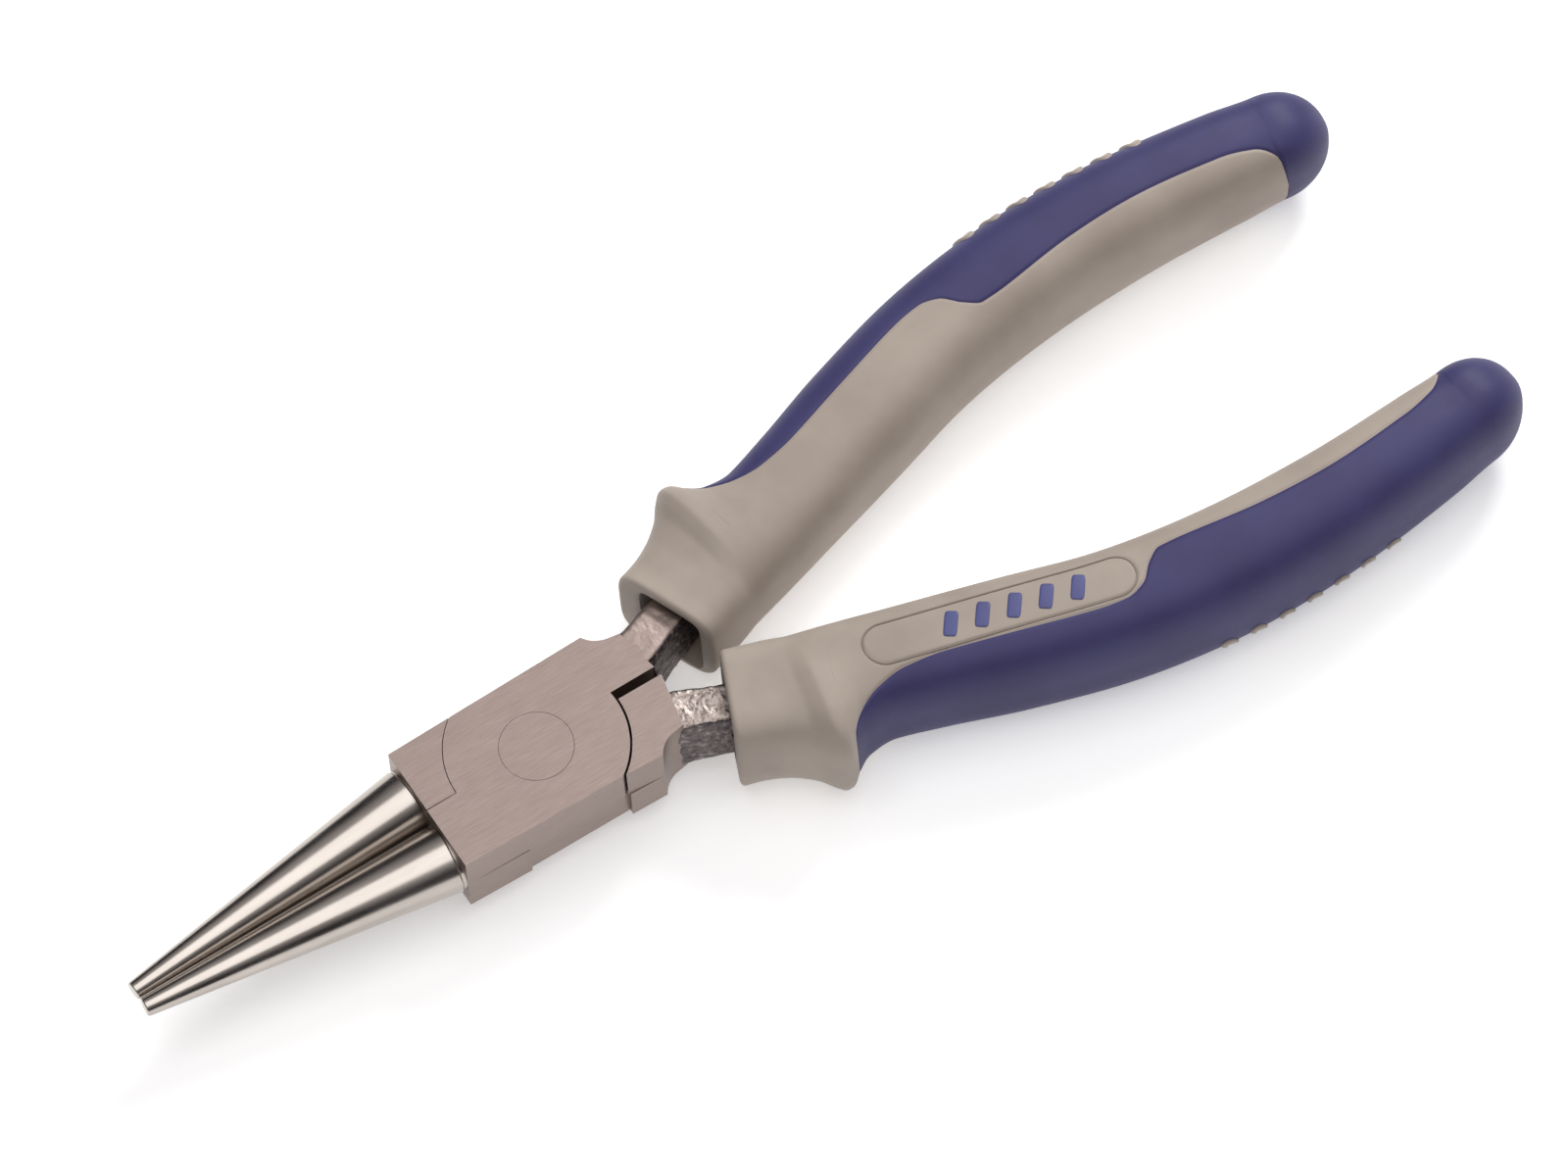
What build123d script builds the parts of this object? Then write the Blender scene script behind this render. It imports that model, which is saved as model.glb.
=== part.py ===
from build123d import *
import os
from math import atan2, copysign, cos, degrees, hypot, pi, radians, sin, sqrt

# Round nose pliers with a lap joint, two-colour moulded grips, jaws closed. Millimetres.
#
# Row frame: origin on the rivet axis, in the ground underside of the joint. +X runs along the centreline
# to the jaw tips, +Z up along the rivet, +Y to the left handle. Every piece is drawn about the joint's
# mid plane and lifted onto the underside when it is written.
#
# The two halves are the same forging. The left half has its handle on +Y, its jaw on -Y and its lap plate
# below the mid plane. The right half is the left one turned half a turn about X. Only the left plate has
# the shallow recess in its side wall, and only the right half has clearance round the rivet.

# ---- joint -------------------------------------------------------------------------------------------
JOINT_THICKNESS = 9.5
JAW_END_X = 13.6              # ground end face that the jaws stand on
JAW_END_HALF_WIDTH = 7.8
SHOULDER_X = -10.6            # where the side walls stop on the handle side
SHOULDER_HALF_WIDTH = 8.3
FACE_END_X = -15.5            # where the ground faces stop beside the slot
LAP_RADIUS = 9.9              # round edge of each lap plate
EDGE_CLEARANCE = 0.20         # between a plate's edge and the other half
LAP_CLEARANCE = 0.08          # between the two plates, face to face
STEP_CLEARANCE = 0.10         # between the jaw roots, across the centreline
SLOT_WIDTH = 1.05             # slot beside the cheek, on the handle side
RECESS_Y = 7.6                # the left plate's side wall stands back to here from the walls beside it
EDGE_BREAK = 0.25             # rounding of the ground edges

# ---- jaws --------------------------------------------------------------------------------------------
JAW_LENGTH = 36.0
JAW_ROOT_RADIUS = 3.84
JAW_TIP_RADIUS = 1.05
JAW_GAP_AT_ROOT = 0.30        # between the closed jaws
JAW_GAP_AT_TIP = 0.14
JAW_SINK = 1.5                # how far the cone runs on into the root
JAW_TIP_ROUNDING = 0.2

# ---- rivet -------------------------------------------------------------------------------------------
RIVET_SHANK_RADIUS = 3.0
RIVET_HEAD_RADIUS = 4.05
RIVET_HEAD_DEPTH = 1.3        # depth of the countersink in each face
RIVET_CLEARANCE = 0.08        # radial, where the rivet turns in the right half

# ---- handle line: straight, a bend, straight again ------------------------------------------------------
HANDLE_START = (-20.9, 7.1)   # centre of the grip's front face
HANDLE_SPLAY = 16.5           # degrees away from the centreline at the front
HANDLE_TOE_IN = 7.0           # degrees back towards it at the end
HANDLE_FRONT_LENGTH = 36.0
HANDLE_BEND_RADIUS = 95.0

# ---- neck and tang: (x, y, heading in degrees, width, thickness, height of its middle) up to the grip ----
# The neck nearly meets the ground face on the plate's side and lies lower than it on the other.
NECK = [
    (-11.6, 4.0, 10, 5.0, 8.6, -0.35),
    (-15.0, 4.25, 15, 5.0, 8.6, -0.35),
    (-18.4, 5.65, 23, 4.7, 8.4, -0.25),
]
TANG_START = 2.6              # distances along the handle line
TANG_END = 76.0
TANG_WIDTH = (4.6, 3.6)
TANG_THICKNESS = (7.8, 5.2)
TANG_CORNER = 1.2

# ---- grip: how far it reaches outwards and inwards of the handle line, and its half height --------------
# (distance along the line, outward, inward, half height, squareness of the section)
GRIP_STATIONS = [
    (-2.4, 5.90, 6.50, 6.5, 4.2),
    (-0.5, 5.95, 6.55, 6.4, 4.2),
    (1.2, 6.10, 6.60, 6.3, 4.0),
    (3.4, 6.60, 6.60, 6.4, 3.8),
    (5.6, 7.85, 6.55, 6.9, 3.6),
    (8.1, 9.70, 6.50, 7.7, 3.4),
    (9.9, 8.20, 6.50, 7.3, 3.3),
    (11.8, 6.55, 6.50, 6.9, 3.2),
    (15.5, 5.55, 6.50, 6.7, 3.1),
    (21.0, 5.75, 6.50, 6.9, 3.0),
    (30.0, 6.30, 6.45, 7.3, 2.9),
    (40.0, 6.45, 6.25, 7.5, 2.8),
    (52.0, 6.25, 6.30, 7.5, 2.8),
    (62.0, 5.85, 6.20, 7.4, 2.8),
    (72.0, 5.50, 5.80, 7.1, 2.8),
    (80.0, 5.35, 5.30, 6.7, 2.8),
    (85.5, 5.10, 5.00, 6.3, 2.7),
]
GRIP_FRONT = -1.3             # front face, as a distance along the handle line
GRIP_END_ROUNDING = 6.5       # length of the rounded tip
SECTION_POINTS = 24           # points that each smooth section runs through
GRIP_CORE_FRONT = 14.0        # where the inner core starts to run below the blue skin
GRIP_SKIN = 2.0               # thickness of the blue skin
GRIP_FRONT_LEAN = 6.0         # degrees that the front face leans back towards the centreline
POCKET_DEPTH = 5.0
POCKET = (-1.05, 7.9, 10.8)   # centre outwards of the handle line, width and height of the open mouth

# ---- colour boundary on the top of the grip: (distance along the handle line, outward) ------------------
BOUNDARY = [
    (9.3, 9.5), (10.0, 7.4), (11.7, 5.3), (14.3, 3.5), (17.6, 2.3), (22.0, 1.85), (30.0, 2.0), (39.0, 2.15),
    (42.0, 1.95), (44.2, 0.9), (45.7, -1.2), (47.4, -2.55), (50.5, -2.75), (60.0, -2.25), (70.0, -1.85),
    (78.5, -1.8), (82.4, -2.3), (84.6, -3.7), (85.2, -5.2), (85.3, -8.0),
]

# ---- marks: generic bars on the label panel and pads on the outer back ----------------------------------
PANEL_SPAN = (13.9, 44.0)     # stadium-shaped engraved line on one face of each grip
PANEL_OFFSET = -0.9
PANEL_WIDTH = 4.9
PANEL_LINE = 0.25             # width and depth of the line
BAR_STATIONS = (23.5, 27.0, 30.5, 34.0, 37.5)
BAR_SIZE = (1.5, 3.0)
BAR_SLANT = 20                # degrees
PAD_STATIONS = (51.5, 54.8, 58.1, 61.4, 64.7, 68.0, 71.3)
PAD_SIZE = (1.7, 3.4)
PAD_HEIGHT = -4.4             # middle of the row of pads, from the mid plane
PAD_FOOT = 1.6                # how far inside the widest point of the back the pads start
PROUD_BAR = 0.12
PROUD_PAD = 0.35
BAR_DEPTH = 0.6               # how deep the bars sit in the grip

HALF = JOINT_THICKNESS / 2
FAR = 40.0                    # larger than anything cut


# ---- handle line ---------------------------------------------------------------------------------------
def handle_line(s):
    """Point and heading at distance s along the handle line; heading is the angle away from -X, to +Y."""
    turn = radians(HANDLE_SPLAY + HANDLE_TOE_IN)
    bend_length = HANDLE_BEND_RADIUS * turn
    start = radians(HANDLE_SPLAY)
    run = min(s, HANDLE_FRONT_LENGTH)
    x = HANDLE_START[0] - run * cos(start)
    y = HANDLE_START[1] + run * sin(start)
    bent = min(max(s - HANDLE_FRONT_LENGTH, 0.0), bend_length)
    heading = start - bent / HANDLE_BEND_RADIUS
    x -= HANDLE_BEND_RADIUS * (sin(start) - sin(heading))
    y += HANDLE_BEND_RADIUS * (cos(heading) - cos(start))
    rest = max(s - HANDLE_FRONT_LENGTH - bend_length, 0.0)
    return x - rest * cos(heading), y + rest * sin(heading), heading


def beside(s, outward):
    """Plan point at distance s along the handle line, moved outwards, square to the line."""
    x, y, heading = handle_line(s)
    return x + outward * sin(heading), y + outward * cos(heading)


def section_plane(x, y, heading):
    """Plane across the handle: its x is outwards, its y is up."""
    return Plane(
        origin=(x, y, 0),
        x_dir=(sin(heading), cos(heading), 0),
        z_dir=(cos(heading), -sin(heading), 0),
    )


def slab(outline, bottom, top):
    """A flat outline in plan, made solid between two heights."""
    return extrude(Pos(0, 0, bottom) * outline, amount=top - bottom, dir=(0, 0, 1))


# ---- forged half -----------------------------------------------------------------------------------------
def head_outline():
    """Plan of the ground head on the left half, from the jaw end to where the neck starts."""
    corner = (SHOULDER_X, SHOULDER_HALF_WIDTH)
    waist = (SHOULDER_X - 2.5, 6.6)
    return make_face(
        [
            Line((JAW_END_X, -JAW_END_HALF_WIDTH), (JAW_END_X, JAW_END_HALF_WIDTH)),
            Line((JAW_END_X, JAW_END_HALF_WIDTH), corner),
            ThreePointArc(corner, (SHOULDER_X - 1.05, 7.15), waist),
            Line(waist, (FACE_END_X + 1.2, 6.4)),
            Line((FACE_END_X + 1.2, 6.4), (FACE_END_X, 0)),
            Line((FACE_END_X, 0), (SHOULDER_X, -SHOULDER_HALF_WIDTH)),
            Line((SHOULDER_X, -SHOULDER_HALF_WIDTH), (JAW_END_X, -JAW_END_HALF_WIDTH)),
        ]
    )


def quarter(x_sign, y_edge, y_sign):
    """Plan region on one side of x = 0, beyond y_edge."""
    return Pos(x_sign * FAR / 2, y_edge + y_sign * FAR / 2) * Rectangle(FAR, FAR)


def forged_head(recessed):
    """Jaw root, lap plate and cheek. The plate is the lower half; the root and cheek are full height."""
    outline = head_outline()
    jaw_root = quarter(1, -STEP_CLEARANCE / 2, -1)
    plate_plan = outline & (Circle(LAP_RADIUS) + jaw_root + quarter(-1, SLOT_WIDTH, 1))
    handle_root = quarter(-1, STEP_CLEARANCE / 2, 1)
    cheek_plan = (outline - Circle(LAP_RADIUS + EDGE_CLEARANCE)) & (jaw_root + handle_root)
    lap = -LAP_CLEARANCE / 2
    head = slab(plate_plan, -HALF, lap) + slab(cheek_plan, lap, HALF)
    if not recessed:
        return head
    recess_length = 2 * sqrt(LAP_RADIUS**2 - RECESS_Y**2)
    recess = Pos(0, RECESS_Y + FAR / 2) * Rectangle(recess_length, FAR)
    return head - slab(recess, -HALF, lap)


def jaw():
    """Round tapered jaw, on the right of the centreline. Its base runs on into the root."""
    root_y = -(JAW_ROOT_RADIUS + JAW_GAP_AT_ROOT / 2)
    tip_y = -(JAW_TIP_RADIUS + JAW_GAP_AT_TIP / 2)
    lean = atan2(tip_y - root_y, JAW_LENGTH)
    length = hypot(JAW_LENGTH, tip_y - root_y)
    taper = (JAW_ROOT_RADIUS - JAW_TIP_RADIUS) / length
    base = (JAW_END_X - JAW_SINK * cos(lean), root_y - JAW_SINK * sin(lean), 0)
    axis = Plane(origin=base, z_dir=(cos(lean), sin(lean), 0))
    base_radius = JAW_ROOT_RADIUS + JAW_SINK * taper
    cone = Cone(base_radius, JAW_TIP_RADIUS, length + JAW_SINK, align=(Align.CENTER, Align.CENTER, Align.MIN))
    tip_edge = cone.edges().filter_by(GeomType.CIRCLE).sort_by(Axis.Z)[-1]
    return axis * fillet(tip_edge, JAW_TIP_ROUNDING)


def neck_section(x, y, heading, width, thickness, middle=0.0):
    plane = section_plane(x, y, radians(heading))
    return plane * Pos(0, middle) * RectangleRounded(width, thickness, TANG_CORNER)


def tang_section(s):
    """The tang narrows evenly from the grip's mouth to its end."""
    share = (s - TANG_START) / (TANG_END - TANG_START)
    width = TANG_WIDTH[0] + share * (TANG_WIDTH[1] - TANG_WIDTH[0])
    thickness = TANG_THICKNESS[0] + share * (TANG_THICKNESS[1] - TANG_THICKNESS[0])
    x, y, heading = handle_line(s)
    return neck_section(x, y, degrees(heading), width, thickness)


def neck_and_tang():
    """Rough forged neck, running on as the tang inside the grip."""
    steps = 8
    along = [TANG_START + k * (TANG_END - TANG_START) / steps for k in range(steps + 1)]
    return loft([neck_section(*row) for row in NECK] + [tang_section(s) for s in along])


def rivet_shape(clearance=0.0):
    """Shank with a countersunk head in each face; with clearance, the hole that it turns in."""
    shank = RIVET_SHANK_RADIUS + clearance
    head = RIVET_HEAD_RADIUS + clearance
    profile = Polyline(
        (0, -HALF),
        (head, -HALF),
        (shank, -HALF + RIVET_HEAD_DEPTH),
        (shank, HALF - RIVET_HEAD_DEPTH),
        (head, HALF),
        (0, HALF),
        close=True,
    )
    return revolve(Plane.XZ * make_face(profile), Axis.Z)


def break_ground_edges(body):
    """Rounds the long straight edges of the ground faces."""
    flats = [e for z in (-HALF, HALF) for e in body.edges().filter_by_position(Axis.Z, z - 0.01, z + 0.01)]
    long_edges = [e for e in flats if e.geom_type == GeomType.LINE and abs(e.center().Y) > 7 and e.length > 4]
    return fillet(long_edges, EDGE_BREAK)


def forged_half(rivet_clearance, recessed):
    head = break_ground_edges(forged_head(recessed))
    body = head + neck_and_tang() + jaw()
    return (body - rivet_shape(rivet_clearance)).solid()


# ---- grip ------------------------------------------------------------------------------------------------
def grip_section(s, outward, inward, half_height, squareness):
    """Closed smooth section across the handle: a rounded box whose squareness falls along the grip."""
    points = []
    for k in range(SECTION_POINTS):
        angle = 2 * pi * (k + 0.5) / SECTION_POINTS
        across = copysign(abs(cos(angle)) ** (2 / squareness), cos(angle))
        up = copysign(abs(sin(angle)) ** (2 / squareness), sin(angle))
        middle = (outward - inward) / 2
        points.append((middle + across * (outward + inward) / 2, up * half_height))
    even = [k / SECTION_POINTS for k in range(SECTION_POINTS + 1)]
    outline = Edge.make_spline([Vector(*point) for point in points], periodic=True, parameters=even)
    return section_plane(*handle_line(s)) * make_face(outline)


def grip_size(s):
    """Outward, inward, half height and squareness at distance s, on curves that don't overshoot the rows."""
    after = next(k for k, row in enumerate(GRIP_STATIONS) if row[0] >= s and k > 0)
    low, high = GRIP_STATIONS[after - 1], GRIP_STATIONS[after]
    span = high[0] - low[0]
    share = (s - low[0]) / span
    rise = share**2 * (3 - 2 * share)
    lead = span * share * (1 - share) ** 2
    trail = span * share**2 * (1 - share)
    slopes_low, slopes_high = row_slopes(after - 1), row_slopes(after)
    return [
        low[c] + rise * (high[c] - low[c]) + lead * slopes_low[c - 1] - trail * slopes_high[c - 1]
        for c in range(1, 5)
    ]


def row_slopes(k):
    """Slope of each column at row k: level at the ends and wherever the column turns."""
    if k in (0, len(GRIP_STATIONS) - 1):
        return [0.0] * 4
    before, here, after = GRIP_STATIONS[k - 1], GRIP_STATIONS[k], GRIP_STATIONS[k + 1]
    slopes = []
    for c in range(1, 5):
        left = (here[c] - before[c]) / (here[0] - before[0])
        right = (after[c] - here[c]) / (after[0] - here[0])
        slopes.append(2 * left * right / (left + right) if left * right > 0 else 0.0)
    return slopes


def grip_stations(grow, front):
    """Sections from front on, grown outwards by grow: close together at the guard and the rounded tip."""
    end = GRIP_STATIONS[-1][0]
    rows = []
    s = front
    while s < end - 0.8:
        rows.append((s, *grip_size(s)))
        s += 1.5 + 0.16 * max(0.0, min(s - 12, end - 4 - s))
    rows.append(GRIP_STATIONS[-1])
    rows = [(s, out + grow, inn + grow, half + grow, square) for s, out, inn, half, square in rows]
    end, out, inn, half, square = rows[-1]
    for angle in (15, 30, 45, 60, 75, 83):
        s = end + sin(radians(angle)) * (GRIP_END_ROUNDING + grow)
        shrink = cos(radians(angle))
        rows.append((s, out * shrink, inn * shrink, half * shrink, square))
    return rows


def grip_body(grow=0.0, front=GRIP_STATIONS[0][0]):
    return loft([grip_section(*row) for row in grip_stations(grow, front)])


def trimmed_grip():
    """Whole outer form, cut off at its leaning front face."""
    x, y, heading = handle_line(GRIP_FRONT)
    face = section_plane(x, y, heading + radians(GRIP_FRONT_LEAN))
    return grip_body() - face * Pos(0, 0, FAR / 2) * Box(FAR, FAR, FAR)


def blue_side():
    """Everything outwards of the colour boundary, and beyond the end of the grey strip."""
    edge = Spline(*[beside(*point) for point in BOUNDARY])
    first, last = beside(*BOUNDARY[0]), beside(*BOUNDARY[-1])
    corners = [last, (-FAR * 3, -FAR / 2), (-FAR * 3, FAR), (first[0], FAR), first]
    return slab(make_face([edge, Polyline(*corners)]), -FAR / 2, FAR / 2)


def pocket():
    """Open mouth in the front face, closing down onto the tang."""
    centre, width, height = POCKET
    sections = []
    for depth, share in ((-1.0, 1.0), (POCKET_DEPTH * 0.7, 0.93), (POCKET_DEPTH, 0.8)):
        plane = section_plane(*handle_line(GRIP_FRONT + depth))
        sections.append(plane * Pos(centre * share, 0) * RectangleRounded(width * share, height * share, 0.9))
    return loft(sections, ruled=True)


def panel_line():
    """Narrow ring in the shape of a stadium, cut a little way into the top face."""
    start, end = PANEL_SPAN
    outer = stadium(start, end, PANEL_WIDTH / 2)
    inner = stadium(start + PANEL_LINE, end - PANEL_LINE, PANEL_WIDTH / 2 - PANEL_LINE)
    return slab(outer - inner, 0, FAR / 2) - grip_body(grow=-PANEL_LINE)


def stadium(start, end, half_width):
    """Round-ended plan shape along the handle line, between two distances."""
    stations = (start + half_width, (start + end) / 2, end - half_width)
    left = [beside(s, PANEL_OFFSET + half_width) for s in stations]
    right = [beside(s, PANEL_OFFSET - half_width) for s in stations]
    front, back = beside(start, PANEL_OFFSET), beside(end, PANEL_OFFSET)
    return make_face(
        [
            Spline(*left),
            ThreePointArc(left[-1], back, right[-1]),
            Spline(*right[::-1]),
            ThreePointArc(right[0], front, left[0]),
        ]
    )


def label_bars():
    """Row of slanted bars on the panel, a little proud of the face."""
    surface = grip_body(grow=PROUD_BAR)
    bars = []
    for s in BAR_STATIONS:
        x, y = beside(s, PANEL_OFFSET)
        turn = 90 - degrees(handle_line(s)[2]) + BAR_SLANT
        outline = Pos(x, y) * Rot(0, 0, turn) * RectangleRounded(BAR_SIZE[1], BAR_SIZE[0], 0.3)
        half_height = grip_size(s)[2]
        bars.append((slab(outline, half_height - BAR_DEPTH, FAR / 2) & surface).solid())
    return Compound(bars)


def back_pads():
    """Row of slanted oval pads low on the outer back, raised from the blue skin."""
    surface = grip_body(grow=PROUD_PAD)
    pads = []
    for s in PAD_STATIONS:
        x, y, heading = handle_line(s)
        outward = (sin(heading), cos(heading), 0)
        foot = beside(s, grip_size(s)[0] - PAD_FOOT)
        plane = Plane(origin=(*foot, 0), x_dir=(-cos(heading), sin(heading), 0), z_dir=outward)
        turned = Pos(0, PAD_HEIGHT) * Rot(0, 0, BAR_SLANT)
        outline = plane * turned * SlotOverall(PAD_SIZE[1], PAD_SIZE[0], rotation=90)
        pads.append((extrude(outline, amount=FAR / 2, dir=outward) & surface).solid())
    return Compound(pads)


def grip_pieces(tang):
    """Grey grip, blue skin, label bars and back pads of the left handle, fitted round the tang."""
    whole = trimmed_grip()
    inner = grip_body(grow=-GRIP_SKIN, front=GRIP_CORE_FRONT)
    skin = (whole & blue_side()) - inner
    bars = label_bars()
    pads = back_pads()
    grey = whole - skin - pocket() - tang - panel_line() - bars
    return {"grip": grey, "overmould": skin - pads, "label_bars": bars, "back_pads": pads}


# ---- assembly --------------------------------------------------------------------------------------------
def left_side():
    tang = neck_and_tang()
    return {"forging": forged_half(0.0, recessed=True), **grip_pieces(tang)}


def write(name, shape):
    """Sets a piece on the joint's underside and writes it."""
    placed = Pos(0, 0, HALF) * shape
    export_step(placed, f"parts/{name}.step")
    print(f"{name}: {len(placed.solids())} solid(s), {placed.volume:.1f} mm3")


def main():
    os.makedirs("parts", exist_ok=True)
    left = left_side()
    right = {**left, "forging": forged_half(RIVET_CLEARANCE, recessed=False)}
    for piece, shape in left.items():
        write(f"left_{piece}", shape)
    for piece, shape in right.items():
        write(f"right_{piece}", Rot(180, 0, 0) * shape)
    write("pivot_rivet", rivet_shape())


main()
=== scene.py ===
"""Looks of the round nose pliers.

Shapes are built in millimetres about the joint's mid plane, for the left half: handle on +Y, jaw on -Y.
place() scales them to metres and lifts them to the joint's height; the right half is turned about X there.
A station is a distance along the handle line, and outward is the distance from that line, away from the
other handle.
"""
from math import atan2, copysign, cos, degrees, dist, exp, hypot, pi, radians, sin, sqrt, tan

import bmesh
import bpy
from mathutils import Matrix, Vector, noise


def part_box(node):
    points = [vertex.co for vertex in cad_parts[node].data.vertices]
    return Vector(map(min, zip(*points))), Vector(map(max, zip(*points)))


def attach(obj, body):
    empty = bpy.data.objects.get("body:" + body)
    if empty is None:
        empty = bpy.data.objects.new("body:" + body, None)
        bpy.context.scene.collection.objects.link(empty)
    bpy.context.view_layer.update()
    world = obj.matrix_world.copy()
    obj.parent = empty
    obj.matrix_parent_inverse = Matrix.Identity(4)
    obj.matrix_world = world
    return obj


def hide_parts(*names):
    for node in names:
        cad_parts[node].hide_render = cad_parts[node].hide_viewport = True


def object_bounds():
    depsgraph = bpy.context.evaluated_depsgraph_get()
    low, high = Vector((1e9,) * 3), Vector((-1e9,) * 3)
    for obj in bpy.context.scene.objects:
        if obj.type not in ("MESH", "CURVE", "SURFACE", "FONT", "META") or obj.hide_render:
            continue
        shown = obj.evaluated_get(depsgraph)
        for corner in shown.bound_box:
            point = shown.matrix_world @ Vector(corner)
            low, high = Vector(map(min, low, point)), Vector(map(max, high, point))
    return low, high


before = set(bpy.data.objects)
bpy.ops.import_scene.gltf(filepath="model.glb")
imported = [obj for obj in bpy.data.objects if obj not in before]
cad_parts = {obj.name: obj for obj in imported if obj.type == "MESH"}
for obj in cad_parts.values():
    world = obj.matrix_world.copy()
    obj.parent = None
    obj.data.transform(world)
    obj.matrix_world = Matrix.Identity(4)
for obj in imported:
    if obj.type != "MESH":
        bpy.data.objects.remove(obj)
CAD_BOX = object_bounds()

MM = 0.001
RIVET_LOW, RIVET_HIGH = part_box("pivot_rivet")
HALF = (RIVET_HIGH.z - RIVET_LOW.z) / 2 / MM       # half the joint's thickness, mm
MID_PLANE = (RIVET_HIGH.z + RIVET_LOW.z) / 2       # its height in the frame, m

# ---- joint, jaws and necks, mm; the main sizes are those of the CAD ----------------------------------------
JAW_END_X = 13.6
JAW_END_Y = 7.8
SHOULDER = (-10.6, 8.3)
SHOULDER_MIDDLE = (-11.65, 7.15)
SHOULDER_FOOT = (-13.1, 6.6)
FACE_END_X = -15.5            # end of the ground face at the tool's middle line
FACE_END_SLANT = 1.2          # how much earlier it ends at FACE_END_Y, beside the neck
FACE_END_Y = 6.4
LAP_RADIUS = 9.9
LAP_HALF_GAP = 0.04
JAW_ROOT_CLEARANCE = 0.08     # round the other half's lap disc, and the same at the cheek
CHEEK_CLEARANCE = 0.25
STEP_HALF_GAP = 0.05
SLOT_WIDTH = 1.05
RECESS_Y = 7.6
JAW_LENGTH = 36.0
JAW_ROOT_RADIUS = 3.84
JAW_TIP_RADIUS = 1.05
JAW_GAP_AT_ROOT = 0.30
JAW_GAP_AT_TIP = 0.14
JAW_GROOVE = (0.15, 0.12)     # depth and length of the groove where the jaw leaves the joint
JAW_TIP_ROUNDING = 0.2
JAW_HOLD = 1.0                # how far the jaw reaches into its root
RIVET_HEAD_RADIUS = 4.05
RIVET_SHANK_RADIUS = 3.0
RIVET_HEAD_DEPTH = 1.3
RIVET_CLEARANCE = 0.03
RIVET_ROUNDING = 0.03
OUTER_ROUNDING = 0.2          # of the ground faces' outline, and of the other edges in them
INNER_ROUNDING = 0.05
OVERLAP = 0.1                 # of the shapes that are joined
OVERSHOOT = 0.05              # of a cutting shape past the faces
NECK = [                      # x, y, heading in degrees, width, height and middle height of its sections
    (-11.6, 4.0, 10, 5.0, 8.7, -0.39),
    (-15.0, 4.25, 15, 5.0, 8.7, -0.39),
    (-18.4, 5.65, 23, 4.7, 8.5, -0.30),
]
TANG = [                      # station, width and height of the sections that follow inside the grip
    (4.0, 4.6, 7.8),
    (9.0, 4.6, 7.7),
]
NECK_SQUARENESS = 9
NECK_INSET = 0.01             # how far the neck stays inside the ground face
LUMPS = 0.10                  # height of the forging's lumps, and on the neck's ground underside
GROUND_LUMPS = 0.03
LUMPS_PER_MM = 0.8
LUMP_NOISE = (0.8, 2.0, 4)    # fractal noise: fall-off, frequency step and number of octaves

# ---- handle line and grip, mm; the main sizes are those of the CAD -----------------------------------------
HANDLE_START = (-20.9, 7.1)
HANDLE_SPLAY = radians(16.5)
HANDLE_TOE_IN = radians(7.0)
HANDLE_FRONT_LENGTH = 36.0
HANDLE_BEND_RADIUS = 95.0
GRIP_FRONT = -1.3
GRIP_END = 85.5
GRIP_TIP = 6.4
GRIP_STATIONS = [             # station, reach outwards and inwards, half height, squareness
    (-1.3, 5.95, 6.55, 6.45, 4.2),
    (1.2, 6.10, 6.60, 6.25, 4.0),
    (3.4, 6.60, 6.60, 6.3, 3.8),
    (5.6, 7.75, 6.55, 6.4, 3.6),
    (7.1, 9.20, 6.50, 6.5, 3.4),
    (7.9, 9.65, 6.50, 6.55, 3.4),
    (8.7, 9.45, 6.50, 6.6, 3.4),
    (9.9, 8.10, 6.50, 6.65, 3.3),
    (11.8, 6.55, 6.50, 6.7, 3.2),
    (15.5, 5.55, 6.50, 6.7, 3.1),
    (21.0, 5.75, 6.50, 6.9, 3.0),
    (30.0, 6.30, 6.45, 7.3, 2.9),
    (40.0, 6.45, 6.25, 7.5, 2.8),
    (52.0, 6.25, 6.30, 7.5, 2.8),
    (62.0, 5.85, 6.20, 7.4, 2.8),
    (72.0, 5.50, 5.80, 7.1, 2.8),
    (80.0, 5.35, 5.30, 6.7, 2.8),
    (85.5, 5.10, 5.00, 6.3, 2.7),
]
RIDGE = [                     # station, height of the guard's crest above the grip
    (3.4, 0.0),
    (5.8, 0.25),
    (7.1, 0.80),
    (7.9, 1.05),
    (8.8, 0.90),
    (11.8, 0.20),
    (15.5, 0.0),
]
RIDGE_FADES = (-5.5, 1.5)     # outward range over which the crest rises from the grip
BOUNDARY = [                  # station, outward position of the line between blue and grey
    (9.3, 9.5), (10.0, 7.4), (11.7, 5.3), (14.3, 3.5), (17.6, 2.3), (22.0, 1.85), (30.0, 2.0), (39.0, 2.15),
    (42.0, 1.95), (44.2, 0.9), (45.7, -1.2), (47.4, -2.55), (50.5, -2.75), (60.0, -2.25), (70.0, -1.85),
    (78.5, -1.8), (82.4, -2.3), (84.6, -3.7), (85.2, -5.2),
]
POCKET = (-1.05, 3.95, 5.4)   # centre, half width and half height of the mouth
POCKET_SQUARENESS = 7
POCKET_ROWS = [               # depth, share of the mouth's size there
    (5.0, 0.55),
    (5.0, 0.82),
    (3.0, 0.95),
    (0.25, 0.985),
    (0.06, 1.0),
]
LEAN = [                      # station, degrees that the sections lean there
    (-1.3, 6.0),
    (3.0, 2.0),
    (8.0, -6.0),
    (18.0, 0.0),
    (90.0, 0.0),
]
FRONT_ROUNDING = 0.6
PANEL_SPAN = (13.9, 44.0)
PANEL_OFFSET = -0.9
PANEL_HALF_WIDTH = 2.45
PANEL_LINE = 0.17
PANEL_GROOVE = (0.16, 0.14)   # depth and half width, for the panel's line and for the colour boundary
COLOUR_GROOVE = (0.14, 0.22)
BAR_STATIONS = (23.5, 27.0, 30.5, 34.0, 37.5)
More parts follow.
